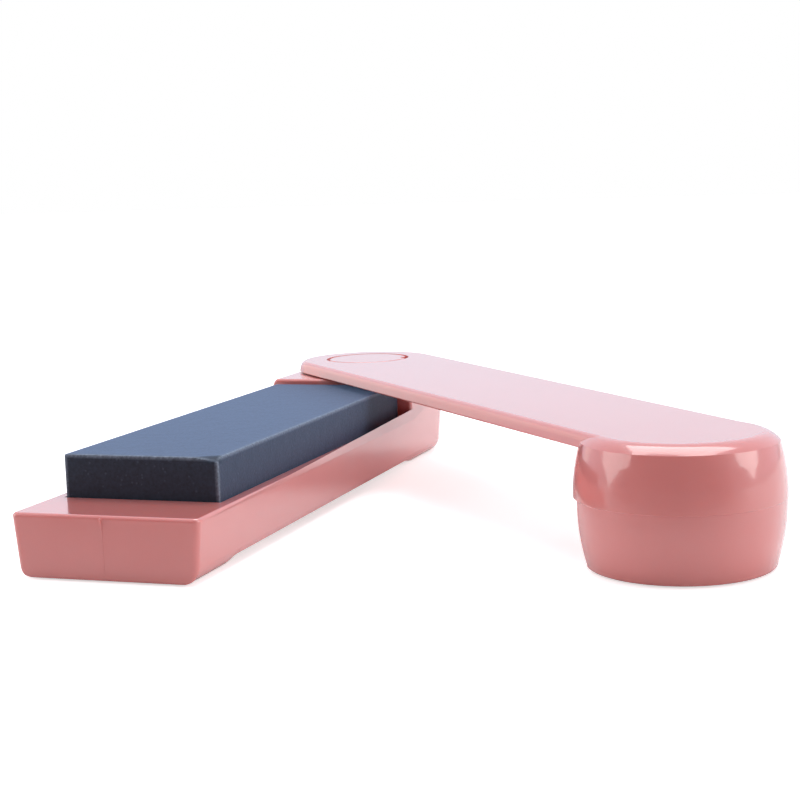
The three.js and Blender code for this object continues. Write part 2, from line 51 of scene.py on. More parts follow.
# Places from the frame
TRAY_LOW, TRAY_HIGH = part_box("base_tray")
STONE_LOW, STONE_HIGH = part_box("whetstone")
ARM_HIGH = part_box("swivel_arm")[1]
CAP_LOW, CAP_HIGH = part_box("pivot_cap")
PLATE_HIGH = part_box("knob_base")[1]
THRUST_LOW, THRUST_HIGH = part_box("thrust_washer")
SCREW_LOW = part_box("pivot_screw")[0]
WASHER_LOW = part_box("pivot_washer")[0]
REAR_PAD_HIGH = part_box("rear_foot")[1]
FRONT_PAD_LOW, FRONT_PAD_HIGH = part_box("front_right_foot")
KNOB_PAD_LOW, KNOB_PAD_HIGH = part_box("knob_foot")
TRAY_HALF = TRAY_HIGH.x
TRAY_FRONT = TRAY_LOW.y
FOOT_LIFT = TRAY_LOW.z
BLOCK_TOP = TRAY_HIGH.z
ARM_TOP = ARM_HIGH.z
KNOB_PAD_MIDDLE = (KNOB_PAD_LOW + KNOB_PAD_HIGH) / 2
ARM_ANGLE = math.atan2(KNOB_PAD_MIDDLE.x, -KNOB_PAD_MIDDLE.y)

# Tray
TRAY_TOP = 11.6 * MM
FRONT_CORNER = 1.1 * MM
FOOT_INSET = 1 * MM
FRONT_FOOT_INSET = 0.2 * MM
RIM_RADIUS = 0.7 * MM
FOOT_EDGE = 2.8 * MM
FRONT_FOOT_EDGE = 0.5 * MM
BED_FIT = 0.3 * MM
BED_FLOOR = 8.4 * MM
BELLY_HEIGHT = 2 * MM
FRONT_FOOT_END = TRAY_FRONT + 12.6 * MM
REAR_FOOT_END = -13.5 * MM
FRONT_RAMP = 2.6 * MM
REAR_RAMP = 9.5 * MM
ARCH_ROUND = 1.2 * MM
WALL = 2.2 * MM
RIB = 1.6 * MM
CELL_ROWS = 6
CELL_ROOF = BED_FLOOR - WALL
PAD_FIT = 0.3 * MM
PAD_ROOF = 1.4 * MM

# Ribs that the mould left on the tray's front: a short one from the rim, and a faint line below
RIB_X = -0.4 * MM
RIDGE_SHARE = 0.3
GATE_WIDTH = 1.1 * MM
GATE_RISE = 0.4 * MM
GATE_BOTTOM = 8.3 * MM
LINE_WIDTH = 1.4 * MM
LINE_RISE = 0.04 * MM
LINE_BOTTOM = 1.6 * MM

# Rear block
BLOCK_REACH = 20.4 * MM
BLOCK_UPRIGHT = TRAY_TOP + 2.4 * MM
BLOCK_SHOULDER = 1.7 * MM

# Pivot
SOCKET_RADIUS = 8.4 * MM
POST_RADIUS = 3.6 * MM
PILOT_RADIUS = 1.65 * MM
SEAT_GAP = 0.1 * MM
POST_TOP = WASHER_LOW.z - SEAT_GAP
SOCKET_FLOOR = THRUST_LOW.z - SEAT_GAP
HUB_RADIUS = 8 * MM
HUB_BOTTOM = THRUST_HIGH.z + SEAT_GAP
WEB_TOP = HUB_BOTTOM + 2.6 * MM
BORE_RADIUS = 6 * MM
POST_HOLE = 3.9 * MM

# Swivel arm
ARM_UNDERSIDE = BLOCK_TOP + 0.2 * MM
ARM_END_RADIUS = 16.7 * MM
ARM_NECK_RADIUS = 15.3 * MM
ARM_DRAFT = 0.6 * MM
ARM_TOP_EDGE = 1.2 * MM
ARM_UNDER_EDGE = 0.3 * MM
CAP_RADIUS = CAP_HIGH.y
CAP_RECESS = CAP_RADIUS + 0.7 * MM
CAP_SEAT = ARM_TOP - 0.8 * MM  # floor of the recess under the cap's rim
CAP_EDGE = 0.25 * MM
CAP_NOTCH = 1.2 * MM
CAP_NOTCH_DEPTH = 0.65 * MM
CAP_NOTCH_ANGLE = math.radians(-30)

# Knob
KNOB_RADIUS = 17.9 * MM
KNOB_FOOT_RADIUS = 16.2 * MM
KNOB_FOOT_EDGE = 0.9 * MM
KNOB_SHOULDER_RADIUS = 17.1 * MM
KNOB_BROW_RADIUS = 16.6 * MM
KNOB_WAIST = 11.6 * MM
KNOB_CROWN = 3.4 * MM
KNOB_BROW = 1.5 * MM
PARTING_STEP = 0.12 * MM
KNOB_BORE = 13.6 * MM
KNOB_ROOF = ARM_UNDERSIDE - 0.3 * MM
LIP_BOTTOM = 12.2 * MM
SWEEP_RADIUS = 133.65 * MM
KNOB_WALL = 2.6 * MM
BOSS_RADIUS = 2.7 * MM
SCREW_HOLE_SHARE = 1 / 4  # a hole's radius, as a share of its screw head's width

# Stone and the foam tape under it
STONE_EDGE = 0.35 * MM
STONE_EDGE_STEPS = 2
STONE_VOXEL = 0.4 * MM
CHIP_LENGTH = 4.7 * MM
CHIP_DEPTH = 1 * MM
# Width of the stone's pale edges: rubbing wear together with a painted edge highlight
PALE_EDGE_WIDTH = 0.7 * MM
LUMP_SIZE = 2.2 * MM
LUMP_RISE = 0.04 * MM
LUMP_LEVEL = 0.75
TAPE_ROUND_SHARE = 0.38
TAPE_STEPS = 4

# Patterns of the finishes
CLOUD_SIZE = 24 * MM
PEEL_SIZE = 2 * MM
PEEL_RISE = 0.02 * MM
PLASTIC_DEPTH = 2 * MM
GRIT_SIZE = 0.5 * MM
GRIT_RISE = 0.08 * MM
SPECK_SIZE = 1.3 * MM
GLOSS_SPREAD = 0.06
RELIEF_SHARE = 1 / 4  # a grain's height, as a share of its size

# Smoothness
ROUND_STEPS = 128
CORNER_STEPS = 8
EDGE_STEPS = 5
PROFILE_STEPS = 10
NEAR = 0.01 * MM
MERGE = 0.002 * MM
OVERRUN = 1 * MM
SMOOTH_ANGLE = math.radians(32)


def reach_of(name):
    """How far a node's mesh lies from the pivot axis at most."""
    return max(math.hypot(v.co.x, v.co.y) for v in NODES[name].data.vertices)


KNOB_REACH = reach_of("swivel_arm") - KNOB_RADIUS


# Modelling steps

def pick(piece):
    """Makes a piece the only selected one."""
    bpy.ops.object.select_all(action="DESELECT")
    piece.select_set(True)
    bpy.context.view_layer.objects.active = piece


def named(name):
    """Names the primitive that was just added and puts its place into its mesh."""
    piece = bpy.context.active_object
    piece.name = name
    piece.data.name = name
    bpy.ops.object.transform_apply(location=True, rotation=True, scale=True)
    return piece


def edit(piece):
    pick(piece)
    bpy.ops.object.mode_set(mode="EDIT")


def leave_edit():
    bpy.ops.object.mode_set(mode="OBJECT")


def choose(piece, kind, test):
    """In edit mode, selects the vertices, edges or faces that pass a test, and nothing else."""
    bpy.ops.mesh.select_mode(type=kind)
    bpy.ops.mesh.select_all(action="DESELECT")
    mesh = bmesh.from_edit_mesh(piece.data)
    parts = {"VERT": mesh.verts, "EDGE": mesh.edges, "FACE": mesh.faces}[kind]
    for part in [p for p in parts if test(p)]:
        part.select_set(True)
    mesh.select_flush_mode()
    bmesh.update_edit_mesh(piece.data)


def at_height(z):
    """A test for edges and faces that lie level at a height."""
    return lambda part: all(abs(v.co.z - z) < NEAR for v in part.verts)


def is_upright(edge):
    """A test for edges that don't lie level."""
    return abs(edge.verts[0].co.z - edge.verts[1].co.z) > NEAR


def tidy_mesh(piece):
    """Merges doubled corners and turns the faces out."""
    edit(piece)
    bpy.ops.mesh.select_all(action="SELECT")
    bpy.ops.mesh.remove_doubles(threshold=MERGE)
    bpy.ops.mesh.normals_make_consistent(inside=False)
    leave_edit()


def carve(piece, tool, operation="DIFFERENCE"):
    """Cuts a piece with a tool, or joins the two, and removes the tool."""
    pick(piece)
    step = piece.modifiers.new("carve", "BOOLEAN")
    step.operation = operation
    step.solver = "EXACT"
    step.object = tool
    bpy.ops.object.modifier_apply(modifier=step.name)
    bpy.data.objects.remove(tool)


def polish(piece):
    """Smooth shading over round edges, with flat faces left flat."""
    tidy_mesh(piece)
    pick(piece)
    bpy.ops.object.shade_smooth_by_angle(angle=SMOOTH_ANGLE)
    step = piece.modifiers.new("flat_faces", "WEIGHTED_NORMAL")
    step.keep_sharp = True
    bpy.ops.object.modifier_apply(modifier=step.name)


def swing(piece):
    """Turns a piece of the arm from the closed place to where the frame has it."""
    pick(piece)
    piece.rotation_euler.z = ARM_ANGLE
    bpy.ops.object.transform_apply(location=True, rotation=True, scale=True)


def grow(profile, middle=(0, 0)):
    """Extrudes the selected face along a profile of [radius, height] about an upright axis."""
    for (radius, height), (next_radius, next_height) in zip(profile, profile[1:]):
        bpy.ops.mesh.extrude_region_move(
            TRANSFORM_OT_translate={"value": (0, 0, next_height - height)})
        ratio = next_radius / radius
        bpy.ops.transform.resize(
            value=(ratio, ratio, 1), center_override=(*middle, next_height))


def turned(name, profile, middle=(0, 0)):
    """A round piece, drawn upward from a disc along a profile of [radius, height]."""
    radius, height = profile[0]
    bpy.ops.object.select_all(action="DESELECT")
    bpy.ops.mesh.primitive_circle_add(
        vertices=ROUND_STEPS, radius=radius, fill_type="NGON", location=(*middle, height))
    piece = named(name)
    edit(piece)
    bpy.ops.mesh.select_mode(type="FACE")
    bpy.ops.mesh.select_all(action="SELECT")
    grow(profile, middle)
    leave_edit()
    tidy_mesh(piece)
    return piece


def block(name, low, high):
    """A box between two corners."""
    low, high = Vector(low), Vector(high)
    bpy.ops.object.select_all(action="DESELECT")
    bpy.ops.mesh.primitive_cube_add(size=1, location=(low + high) / 2, scale=high - low)
    return named(name)


def bend(start, pull, end):
    """Points along a curve from start to end that leans towards pull, without the first."""
    points = []
    for i in range(1, PROFILE_STEPS + 1):
        t = i / PROFILE_STEPS
        shares = ((1 - t) ** 2, 2 * t * (1 - t), t ** 2)
        points.append(tuple(
            sum(share * p[axis] for share, p in zip(shares, (start, pull, end))) for axis in (0, 1)))
    return points


def round_ended_face(name, rear_half, front_half, front, height):
    """A level face, half round about the pivot axis, with straight sides to a straight front.

    It is left in edit mode with the face selected.
    """
    bpy.ops.object.select_all(action="DESELECT")
    bpy.ops.mesh.primitive_circle_add(vertices=ROUND_STEPS, radius=rear_half, location=(0, 0, height))
    piece = named(name)
    edit(piece)
    choose(piece, "VERT", lambda v: v.co.y < -NEAR)
    bpy.ops.mesh.delete(type="VERT")
    choose(piece, "VERT", lambda v: v.co.y < NEAR)
    bpy.ops.mesh.extrude_vertices_move(TRANSFORM_OT_translate={"value": (0, front, 0)})
    bpy.ops.transform.resize(
        value=(front_half / rear_half, 1, 1), center_override=(0, front, height))
    bpy.ops.mesh.select_all(action="SELECT")
    bpy.ops.mesh.edge_face_add()
    choose(piece, "FACE", lambda f: True)
    return piece


# Tray

def tray_shell():
    """The tray's walls, drawn down to the foot, with the raised block at the rear in one with them."""
    tray = round_ended_face("tray_body", TRAY_HALF, TRAY_HALF, TRAY_FRONT, TRAY_TOP)
    if bmesh.from_edit_mesh(tray.data).faces[:][0].normal.z > 0:
        bpy.ops.mesh.flip_normals()
    bpy.ops.mesh.inset(thickness=FOOT_INSET, depth=TRAY_TOP - FOOT_LIFT)
    choose(tray, "VERT", lambda v: v.co.z < TRAY_TOP - NEAR and v.co.y < TRAY_FRONT + 2 * FOOT_INSET)
    bpy.ops.transform.translate(value=(0, FRONT_FOOT_INSET - FOOT_INSET, 0))
    choose(tray, "EDGE", lambda e: e.is_boundary)
    bpy.ops.mesh.edge_face_add()
    round_corners(tray)
    edit(tray)
    choose(tray, "FACE", at_height(TRAY_TOP))
    shoulder = [
        (TRAY_HALF - BLOCK_SHOULDER * t ** 2, BLOCK_UPRIGHT + (BLOCK_TOP - BLOCK_UPRIGHT) * t)
        for t in (i / PROFILE_STEPS for i in range(PROFILE_STEPS + 1))
    ]
    grow([(TRAY_HALF, TRAY_TOP), *shoulder])
    leave_edit()
    tidy_mesh(tray)
    low = (-TRAY_HALF - OVERRUN, TRAY_FRONT - OVERRUN, TRAY_TOP)
    high = (TRAY_HALF + OVERRUN, -BLOCK_REACH, BLOCK_TOP + OVERRUN)
    carve(tray, block("ledge_space", low, high))
    tidy_mesh(tray)
    round_edges(tray)
    return tray


def round_corners(tray):
    """Rounds the two front corners and the foot, which is rounder along its sides than in front."""
    def in_front(edge):
        return all(v.co.y < TRAY_FRONT + 2 * FOOT_INSET for v in edge.verts)

    at_foot = at_height(FOOT_LIFT)
    roundings = [
        (lambda e: is_upright(e) and in_front(e), FRONT_CORNER),
        (lambda e: at_foot(e) and in_front(e), FRONT_FOOT_EDGE),
        (lambda e: at_foot(e) and not in_front(e), FOOT_EDGE),
    ]
    for test, radius in roundings:
        choose(tray, "EDGE", test)
        bpy.ops.transform.edge_bevelweight(value=radius / FOOT_EDGE)
    leave_edit()
    pick(tray)
    step = tray.modifiers.new("round_corners", "BEVEL")
    step.limit_method = "WEIGHT"
    step.width = FOOT_EDGE
    step.segments = CORNER_STEPS
    step.use_clamp_overlap = False
    bpy.ops.object.modifier_apply(modifier=step.name)


def round_edges(tray):
    """Rounds the rim of the ledges and the block's edges."""
    at_rim = at_height(TRAY_TOP)
    at_top = at_height(BLOCK_TOP)

    def on_block_front(edge):
        return all(abs(v.co.y + BLOCK_REACH) < NEAR for v in edge.verts)

    def on_ledge(edge):
        return all(v.co.y < NEAR - BLOCK_REACH for v in edge.verts) and not on_block_front(edge)

    def to_round(edge):
        rim = at_rim(edge) and on_ledge(edge)
        return rim or at_top(edge) or (on_block_front(edge) and is_upright(edge))

    edit(tray)
    choose(tray, "EDGE", to_round)
    bpy.ops.mesh.bevel(offset=RIM_RADIUS, segments=EDGE_STEPS, affect="EDGES")
    leave_edit()
    tidy_mesh(tray)


def stone_bed():
    """The space that the stone lies in."""
    low = (STONE_LOW.x - BED_FIT, STONE_LOW.y - BED_FIT, BED_FLOOR)
    high = (STONE_HIGH.x + BED_FIT, -BLOCK_REACH - NEAR, TRAY_TOP + OVERRUN)
    return block("stone_bed", low, high)


def hub_socket():
    """The round space for the arm's hub, with the post left standing in it."""
    top = BLOCK_TOP + OVERRUN
    socket = turned("hub_socket", [(SOCKET_RADIUS, SOCKET_FLOOR), (SOCKET_RADIUS, top)])
    post = turned("post", [(POST_RADIUS, SOCKET_FLOOR - OVERRUN), (POST_RADIUS, POST_TOP)])
    carve(socket, post)
    return socket


def under_arch():
    """The shallow arch between the feet, with sloped ends and soft corners."""
    side = TRAY_HALF + OVERRUN
    arch = block("under_arch", (-side, FRONT_FOOT_END, -OVERRUN), (side, REAR_FOOT_END, BELLY_HEIGHT))
    edit(arch)
    for end, ramp in ((FRONT_FOOT_END, FRONT_RAMP), (REAR_FOOT_END, -REAR_RAMP)):
        rise = BELLY_HEIGHT - FOOT_LIFT
        choose(arch, "VERT", lambda v: abs(v.co.y - end) < NEAR and v.co.z > 0)
        bpy.ops.transform.translate(value=(0, ramp, 0))
        choose(arch, "VERT", lambda v: abs(v.co.y - end) < NEAR and v.co.z < 0)
        bpy.ops.transform.translate(value=(0, -ramp * (FOOT_LIFT + OVERRUN) / rise, 0))
    at_belly = at_height(BELLY_HEIGHT)
    choose(arch, "EDGE", lambda e: at_belly(e) and e.verts[0].co.x * e.verts[1].co.x < 0)
    bpy.ops.mesh.bevel(offset=ARCH_ROUND, segments=EDGE_STEPS, affect="EDGES")
    leave_edit()
    return arch


def underside_cells():
    """The hollows between the ribs of the underside, in two columns, as one tool."""
    front = FRONT_FOOT_END + FRONT_RAMP + WALL
    rear = REAR_FOOT_END - REAR_RAMP - WALL
    pitch = (rear - front + RIB) / CELL_ROWS
    outer = TRAY_HALF - FOOT_INSET - WALL
    cells = []
    for side in (-1, 1):
        inner_x, outer_x = sorted((side * RIB / 2, side * outer))
        for row in range(CELL_ROWS):
            start = front + row * pitch
            cell = block("cell", (inner_x, start, -OVERRUN), (outer_x, start + pitch - RIB, CELL_ROOF))
            edit(cell)
            choose(cell, "EDGE", lambda e: e.verts[0].co.z * e.verts[1].co.z < 0)
            bpy.ops.mesh.bevel(offset=RIB / 2, segments=EDGE_STEPS, affect="EDGES")
            leave_edit()
            cells.append(cell)
    bpy.ops.object.select_all(action="DESELECT")
    for cell in cells:
        cell.select_set(True)
    bpy.context.view_layer.objects.active = cells[0]
    bpy.ops.object.join()
    return cells[0]


def rear_core():
    """The ring-shaped hollow under the block, round the rear pad's seat."""
    roof = SOCKET_FLOOR - WALL
    outer = TRAY_HALF - FOOT_INSET - WALL
    inner = SOCKET_RADIUS + RIB
    core = turned("rear_core", [(outer, -OVERRUN), (outer, roof)])
    carve(core, turned("seat", [(inner, -2 * OVERRUN), (inner, roof + OVERRUN)]))
    return core


def front_rib(name, width, rise, end_rise, bottom):
    """A ridge on the tray's front, from the rim down, that ends with its own rise at the bottom."""
    half = width / 2
    rib = block(
        name, (RIB_X - half, TRAY_FRONT - rise, bottom),
        (RIB_X + half, TRAY_FRONT + OVERRUN, TRAY_TOP - RIM_RADIUS / 2))
    draft = FRONT_FOOT_INSET * (TRAY_TOP - bottom) / (TRAY_TOP - FOOT_LIFT)
    edit(rib)
    choose(rib, "VERT", lambda v: v.co.y < TRAY_FRONT)
    bpy.ops.transform.resize(value=(RIDGE_SHARE, 1, 1), center_override=(RIB_X, 0, 0))
    choose(rib, "VERT", lambda v: v.co.y < TRAY_FRONT and v.co.z < bottom + NEAR)
    bpy.ops.transform.translate(value=(0, rise - end_rise + draft, 0))
    leave_edit()
    return rib


def tray_body():
    """The tray with its bed, socket, hollows, pad recesses and front ribs."""
    tray = tray_shell()
    carve(tray, stone_bed())
    carve(tray, hub_socket())
    carve(tray, under_arch())
    carve(tray, underside_cells())
    carve(tray, rear_core())
    rear_pad = REAR_PAD_HIGH.x + PAD_FIT
    carve(tray, turned("rear_recess", [(rear_pad, -OVERRUN), (rear_pad, PAD_ROOF)]))
    pad_middle = (FRONT_PAD_LOW + FRONT_PAD_HIGH) / 2
    front_pad = (FRONT_PAD_HIGH.x - FRONT_PAD_LOW.x) / 2 + PAD_FIT
    for x in (-pad_middle.x, pad_middle.x):
        profile = [(front_pad, -OVERRUN), (front_pad, PAD_ROOF)]
        carve(tray, turned("front_recess", profile, (x, pad_middle.y)))
    pilot = [(PILOT_RADIUS, SCREW_LOW.z - SEAT_GAP), (PILOT_RADIUS, BLOCK_TOP)]
    carve(tray, turned("pilot_hole", pilot))
    carve(tray, front_rib("gate_rib", GATE_WIDTH, GATE_RISE, 0, GATE_BOTTOM), "UNION")
    carve(tray, front_rib("sink_line", LINE_WIDTH, LINE_RISE, LINE_RISE, LINE_BOTTOM), "UNION")
    polish(tray)
    return tray


# Swivel arm with its knob

def arm_plate():
    """The flat arm, round about the pivot, with drafted sides, as far as the knob's middle."""
    plate = round_ended_face(
        "arm_body", ARM_END_RADIUS, ARM_NECK_RADIUS, -KNOB_REACH, ARM_UNDERSIDE)
    if bmesh.from_edit_mesh(plate.data).faces[:][0].normal.z < 0:
        bpy.ops.mesh.flip_normals()
    bpy.ops.mesh.inset(thickness=ARM_DRAFT, depth=ARM_TOP - ARM_UNDERSIDE)
    choose(plate, "EDGE", lambda e: e.is_boundary)
    bpy.ops.mesh.edge_face_add()
    leave_edit()
    tidy_mesh(plate)
    edit(plate)
    for height, radius in ((ARM_UNDERSIDE, ARM_UNDER_EDGE), (ARM_TOP, ARM_TOP_EDGE)):
        choose(plate, "EDGE", at_height(height))
        bpy.ops.mesh.bevel(offset=radius, segments=EDGE_STEPS, affect="EDGES")
    leave_edit()
    tidy_mesh(plate)
    return plate


def knob_barrel():
    """The knob's barrel, widest at its waist, with a soft crown that runs into the arm's top."""
    foot_in = (KNOB_FOOT_RADIUS - KNOB_FOOT_EDGE, FOOT_LIFT)
    foot_out = (KNOB_FOOT_RADIUS, FOOT_LIFT + KNOB_FOOT_EDGE)
    waist = (KNOB_RADIUS - PARTING_STEP, KNOB_WAIST)
    lip = (KNOB_RADIUS, LIP_BOTTOM)
    shoulder = (KNOB_SHOULDER_RADIUS, ARM_TOP - KNOB_CROWN)
    brow = (KNOB_BROW_RADIUS, ARM_TOP - KNOB_BROW)
    top = (ARM_NECK_RADIUS - ARM_DRAFT - ARM_TOP_EDGE, ARM_TOP + NEAR)
    profile = [foot_in]
    profile += bend(foot_in, (KNOB_FOOT_RADIUS, FOOT_LIFT), foot_out)
    profile += bend(foot_out, (waist[0], (foot_out[1] + KNOB_WAIST) / 2), waist)
    profile += [(waist[0], LIP_BOTTOM - PARTING_STEP), lip]
    profile += bend(lip, (KNOB_RADIUS, (LIP_BOTTOM + shoulder[1]) / 2), shoulder)
    profile += [brow]
    profile += bend(brow, ((brow[0] + top[0]) / 2, top[1]), top)
    barrel = turned("knob_barrel", profile, (0, -KNOB_REACH))
    sweep_top = LIP_BOTTOM - PARTING_STEP / 2
    carve(barrel, turned("tray_sweep", [(SWEEP_RADIUS, -OVERRUN), (SWEEP_RADIUS, sweep_top)]))
    hollow = turned("knob_hollow", [(KNOB_BORE, -OVERRUN), (KNOB_BORE, KNOB_ROOF)], (0, -KNOB_REACH))
    wall = SWEEP_RADIUS + KNOB_WALL
    carve(hollow, turned("inner_wall", [(wall, -2 * OVERRUN), (wall, ARM_TOP)]))
    for name in ("knob_screw_left", "knob_screw_right"):
        low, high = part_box(name)
        middle = Matrix.Rotation(-ARM_ANGLE, 3, "Z") @ ((low + high) / 2)
        boss = [(BOSS_RADIUS, PLATE_HIGH.z + SEAT_GAP), (BOSS_RADIUS, ARM_TOP)]
        carve(hollow, turned("boss", boss, middle[:2]))
        thread = (high.x - low.x) * SCREW_HOLE_SHARE
        hole = [(thread, FOOT_LIFT), (thread, high.z)]
        carve(hollow, turned("boss_hole", hole, middle[:2]), "UNION")
    carve(barrel, hollow)
    return barrel


def arm_body():
    """The arm and its knob in one piece, with the hub below and the cap's recess above."""
    arm = arm_plate()
    carve(arm, knob_barrel(), "UNION")
    hub_top = ARM_UNDERSIDE + ARM_UNDER_EDGE
    carve(arm, turned("hub", [(HUB_RADIUS, HUB_BOTTOM), (HUB_RADIUS, hub_top)]), "UNION")
    past_top = ARM_TOP + OVERRUN
    carve(arm, turned("cap_recess", [(CAP_RECESS, CAP_SEAT), (CAP_RECESS, past_top)]))
    carve(arm, turned("counterbore", [(BORE_RADIUS, WEB_TOP), (BORE_RADIUS, past_top)]))
    carve(arm, turned("post_hole", [(POST_HOLE, HUB_BOTTOM - OVERRUN), (POST_HOLE, past_top)]))
    swing(arm)
    polish(arm)
    return arm


def cap_disc():
    """The disc over the pivot, with a plug below and a small pry notch at its rim."""
    plug = BORE_RADIUS - BED_FIT
    seat = CAP_SEAT + SEAT_GAP
    disc = turned("cap_disc", [
        (plug, CAP_LOW.z), (plug, seat), (CAP_RADIUS, seat), (CAP_RADIUS, ARM_TOP)])
    edit(disc)
    choose(disc, "EDGE", at_height(ARM_TOP))
    bpy.ops.mesh.bevel(offset=CAP_EDGE, segments=EDGE_STEPS, affect="EDGES")
    leave_edit()
    middle = (CAP_RADIUS * math.cos(CAP_NOTCH_ANGLE), CAP_RADIUS * math.sin(CAP_NOTCH_ANGLE))
    notch = [(CAP_NOTCH, ARM_TOP - CAP_NOTCH_DEPTH), (CAP_NOTCH, ARM_TOP + OVERRUN)]
    carve(disc, turned("pry_notch", notch, middle))
    swing(disc)
    polish(disc)
    return disc


# Stone

def stone_block():
    """The abrasive block, with broken edges and a chip out of its front right corner."""
    stone = block("stone_block", STONE_LOW, STONE_HIGH)
    edit(stone)
    bpy.ops.mesh.select_all(action="SELECT")
    bpy.ops.mesh.bevel(offset=STONE_EDGE, segments=STONE_EDGE_STEPS, affect="EDGES")
    corner = Vector((STONE_HIGH.x, STONE_LOW.y, STONE_HIGH.z))
    reach = Vector((CHIP_LENGTH, CHIP_LENGTH / 2, CHIP_DEPTH))
    slope = Vector((1 / reach.x, -1 / reach.y, 1 / reach.z)).normalized()
    bpy.ops.mesh.select_all(action="SELECT")
    bpy.ops.mesh.bisect(
        plane_co=corner - Vector((0, 0, CHIP_DEPTH)), plane_no=slope, use_fill=True, clear_outer=True)
    leave_edit()
    tidy_mesh(stone)
    pick(stone)
    stone.data.remesh_voxel_size = STONE_VOXEL
    bpy.ops.object.voxel_remesh()
    roughen = bpy.data.textures.new("stone_unevenness", "CLOUDS")
    roughen.noise_scale = LUMP_SIZE
    step = stone.modifiers.new("unevenness", "DISPLACE")
    step.texture = roughen
    step.strength = LUMP_RISE
    step.mid_level = LUMP_LEVEL
    bpy.ops.object.modifier_apply(modifier=step.name)
    bpy.ops.object.shade_smooth_by_angle(angle=SMOOTH_ANGLE)
    # Paler towards the edges: partly rubbing wear, partly a painted edge highlight.
    wear_and_highlight = stone.data.attributes.new("wear_and_highlight", "FLOAT", "POINT")
    wear_and_highlight.data.foreach_set("value", [edge_wear_and_highlight(v.co) for v in stone.data.vertices])
    return stone


def edge_wear_and_highlight(place):
    """How pale the stone is at a place, from rubbing wear and a painted edge highlight: 1 on its edges
    and 0 away from them.
    """
    depths = sorted(
        min(place[axis] - STONE_LOW[axis], STONE_HIGH[axis] - place[axis]) for axis in range(3))
    return max(0.0, 1 - depths[1] / PALE_EDGE_WIDTH)


def tape_strip(name):
    """A strip of foam tape under the stone, whose weight has pressed its sides out round."""
    low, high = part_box(name)
    strip = block(name + "_foam", low, high)
    edit(strip)
    choose(strip, "EDGE", lambda e: True)
    rounding = TAPE_ROUND_SHARE * (high.z - low.z)
    bpy.ops.mesh.bevel(offset=rounding, segments=TAPE_STEPS, affect="EDGES")
    leave_edit()
    polish(strip)
    return strip


# Materials

def linear(code):
    """An sRGB hex colour as linear RGBA."""
    channels = [int(code[i:i + 2], 16) / 255 for i in (1, 3, 5)]
    return (*[c / 12.92 if c <= 0.04045 else ((c + 0.055) / 1.055) ** 2.4 for c in channels], 1)


def node(tree, kind, inputs, **settings):
    """Adds a node with its settings. An input is a value, or the output that feeds it."""
    added = tree.nodes.new(kind)
    for name, value in settings.items():
        setattr(added, name, value)
    for name, value in inputs.items():
        if isinstance(value, bpy.types.NodeSocket):
            tree.links.new(value, added.inputs[name])
        else:
            added.inputs[name].default_value = value
    return added


def new_material(name):
    """An empty material with its shader, and the Object coordinates that its patterns follow."""
    material = bpy.data.materials.new(name)
    material.use_nodes = True
    tree = material.node_tree
    shader = tree.nodes["Principled BSDF"]
    place = node(tree, "ShaderNodeTexCoord", {}).outputs["Object"]
    return material, tree, shader, place


def moulded_abs():
    """Injection-moulded ABS: glossy, slightly cloudy, and light gets a little way into it."""
    material, tree, shader, place = new_material("moulded_abs")
    clouds = node(
        tree, "ShaderNodeTexNoise", {"Vector": place, "Scale": 1 / CLOUD_SIZE, "Detail": 2.0})
    colour = node(
        tree, "ShaderNodeMix",
        {0: clouds.outputs["Fac"], 6: linear("#D87C77"), 7: linear("#E08984")}, data_type="RGBA")
    tree.links.new(colour.outputs[2], shader.inputs["Base Color"])
    grain = node(tree, "ShaderNodeTexNoise", {"Vector": place, "Scale": 1 / PEEL_SIZE, "Detail": 1.0})
    gloss = node(
        tree, "ShaderNodeMapRange", {"Value": grain.outputs["Fac"], "To Min": 0.19, "To Max": 0.23})
    tree.links.new(gloss.outputs[0], shader.inputs["Roughness"])
    peel = node(
        tree, "ShaderNodeBump",
        {"Height": grain.outputs["Fac"], "Strength": 0.05, "Distance": PEEL_RISE})
    tree.links.new(peel.outputs["Normal"], shader.inputs["Normal"])
    shader.inputs["IOR"].default_value = 1.53
    shader.inputs["Coat Weight"].default_value = 1.0
    shader.inputs["Coat Roughness"].default_value = 0.06
    shader.inputs["Subsurface Weight"].default_value = 0.2
    shader.inputs["Subsurface Radius"].default_value = (1.0, 0.35, 0.25)
    shader.inputs["Subsurface Scale"].default_value = PLASTIC_DEPTH
    return material


